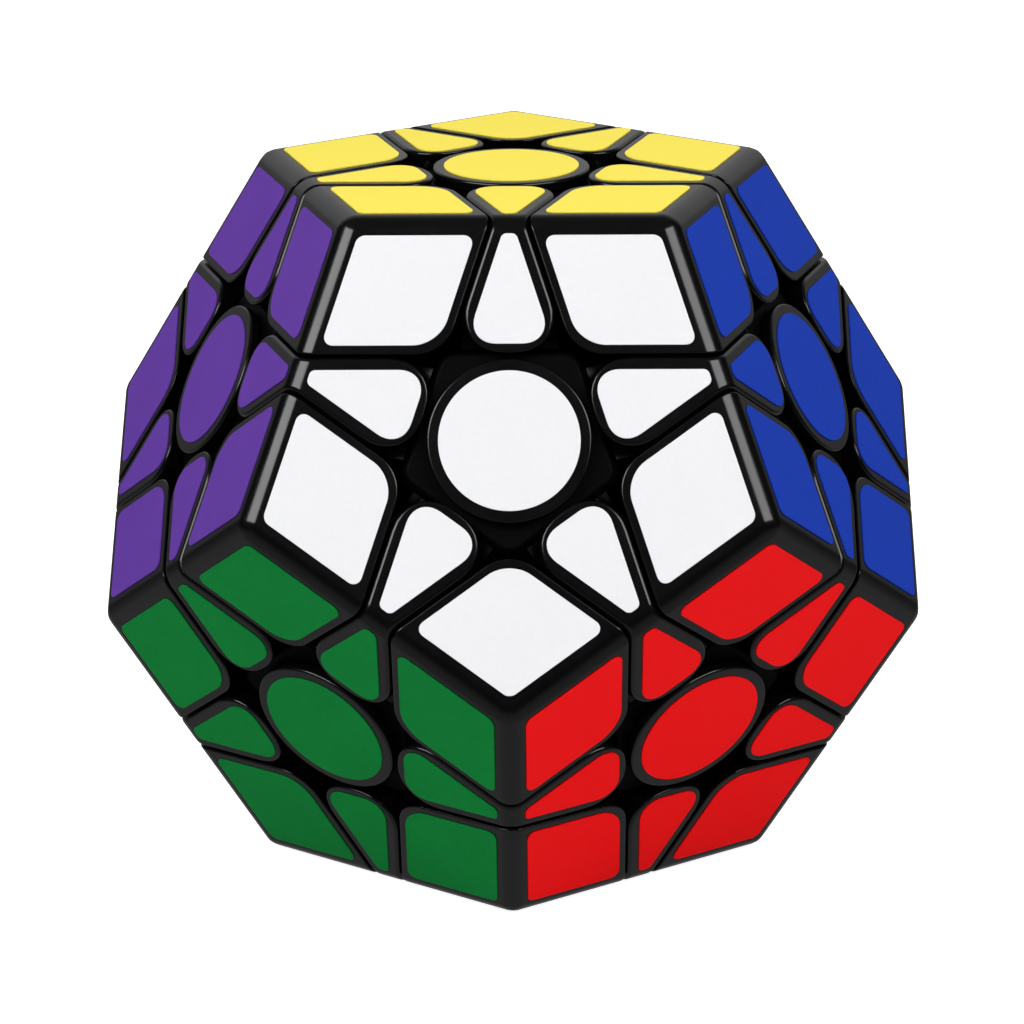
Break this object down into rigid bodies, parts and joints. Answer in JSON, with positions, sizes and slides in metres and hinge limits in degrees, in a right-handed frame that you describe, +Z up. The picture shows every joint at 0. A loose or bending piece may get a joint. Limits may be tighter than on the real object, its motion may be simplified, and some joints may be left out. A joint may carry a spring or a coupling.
{
  "type": "dodecahedron twisty puzzle",
  "caption": "Dodecahedron twisty puzzle: round centres, wedge edges and rhombic corners hook together round a screwed and sprung core, and whole faces turn.",
  "frame": {"origin": "the centre of the puzzle, where every turning axis meets", "axes": "+Z up, out of the yellow face, so the puzzle stands on its cream face; the white face looks along -Y and upwards; +X is to the right of it"},
  "size_m": [0.0802, 0.0844, 0.069],
  "materials": {
    "black_plastic": "satin moulded",
    "core_plastic": "matte moulded",
    "screw_steel": "zinc plated",
    "spring_steel": "drawn wire",
    "yellow_vinyl": "satin printed vinyl sticker",
    "white_vinyl": "satin printed vinyl sticker",
    "blue_vinyl": "satin printed vinyl sticker",
    "lime_vinyl": "satin printed vinyl sticker",
    "orange_vinyl": "satin printed vinyl sticker",
    "purple_vinyl": "satin printed vinyl sticker",
    "red_vinyl": "satin printed vinyl sticker",
    "pink_vinyl": "satin printed vinyl sticker",
    "grey_vinyl": "satin printed vinyl sticker",
    "sky_vinyl": "satin printed vinyl sticker",
    "green_vinyl": "satin printed vinyl sticker",
    "cream_vinyl": "satin printed vinyl sticker"
  },
  "bodies": {
    "core_and_fixed_layers": {"blue_centre": "blue_vinyl", "blue_red_pink_corner_and_edges": "black_plastic", "core": "core_plastic", "cream_screw": "screw_steel", "cream_spring": "spring_steel", "green_centre": "green_vinyl", "grey_centre": "grey_vinyl", "lime_screw": "screw_steel", "lime_spring": "spring_steel", "orange_centre": "orange_vinyl", "orange_grey_sky_corner_and_edges": "black_plastic", "orange_purple_sky_corner_and_edges": "black_plastic", "pink_centre": "pink_vinyl", "pink_grey_edge": "black_plastic", "purple_centre": "purple_vinyl", "purple_sky_green_corner_and_edges": "black_plastic", "red_centre": "red_vinyl", "red_green_edge": "black_plastic", "sky_centre": "sky_vinyl", "white_screw": "screw_steel", "white_spring": "spring_steel", "yellow_blue_edge": "black_plastic", "yellow_centre": "yellow_vinyl", "yellow_orange_purple_corner_and_edges": "black_plastic"},
    "white_layer": {"white_blue_edge": "black_plastic", "white_blue_red_corner": "black_plastic", "white_centre_base": "black_plastic", "white_centre_cap": "white_vinyl", "white_green_edge": "black_plastic", "white_purple_edge": "black_plastic", "white_purple_green_corner": "black_plastic", "white_red_edge": "black_plastic", "white_red_green_corner": "black_plastic", "yellow_white_blue_corner": "black_plastic", "yellow_white_edge": "black_plastic", "yellow_white_purple_corner": "black_plastic"},
    "lime_layer": {"blue_lime_edge": "black_plastic", "blue_lime_pink_corner": "black_plastic", "lime_centre_base": "black_plastic", "lime_centre_cap": "lime_vinyl", "lime_grey_edge": "black_plastic", "lime_orange_edge": "black_plastic", "lime_orange_grey_corner": "black_plastic", "lime_pink_edge": "black_plastic", "lime_pink_grey_corner": "black_plastic", "yellow_blue_lime_corner": "black_plastic", "yellow_lime_edge": "black_plastic", "yellow_lime_orange_corner": "black_plastic"},
    "cream_layer": {"cream_centre_base": "black_plastic", "cream_centre_cap": "cream_vinyl", "green_cream_edge": "black_plastic", "grey_cream_edge": "black_plastic", "grey_sky_cream_corner": "black_plastic", "pink_cream_edge": "black_plastic", "pink_grey_cream_corner": "black_plastic", "red_cream_edge": "black_plastic", "red_green_cream_corner": "black_plastic", "red_pink_cream_corner": "black_plastic", "sky_cream_edge": "black_plastic", "sky_green_cream_corner": "black_plastic"}
  },
  "joints": [
    {"name": "white_face_turn", "type": "hinge", "parent": "core_and_fixed_layers", "child": "white_layer", "pos_m": [0, 0, 0], "axis": [0, -0.8944, 0.4472], "continuous": true},
    {"name": "lime_face_turn", "type": "hinge", "parent": "core_and_fixed_layers", "child": "lime_layer", "pos_m": [0, 0, 0], "axis": [0.5257, 0.7236, 0.4472], "continuous": true},
    {"name": "cream_face_turn", "type": "hinge", "parent": "core_and_fixed_layers", "child": "cream_layer", "pos_m": [0, 0, 0], "axis": [0, 0, -1], "continuous": true}
  ]
}
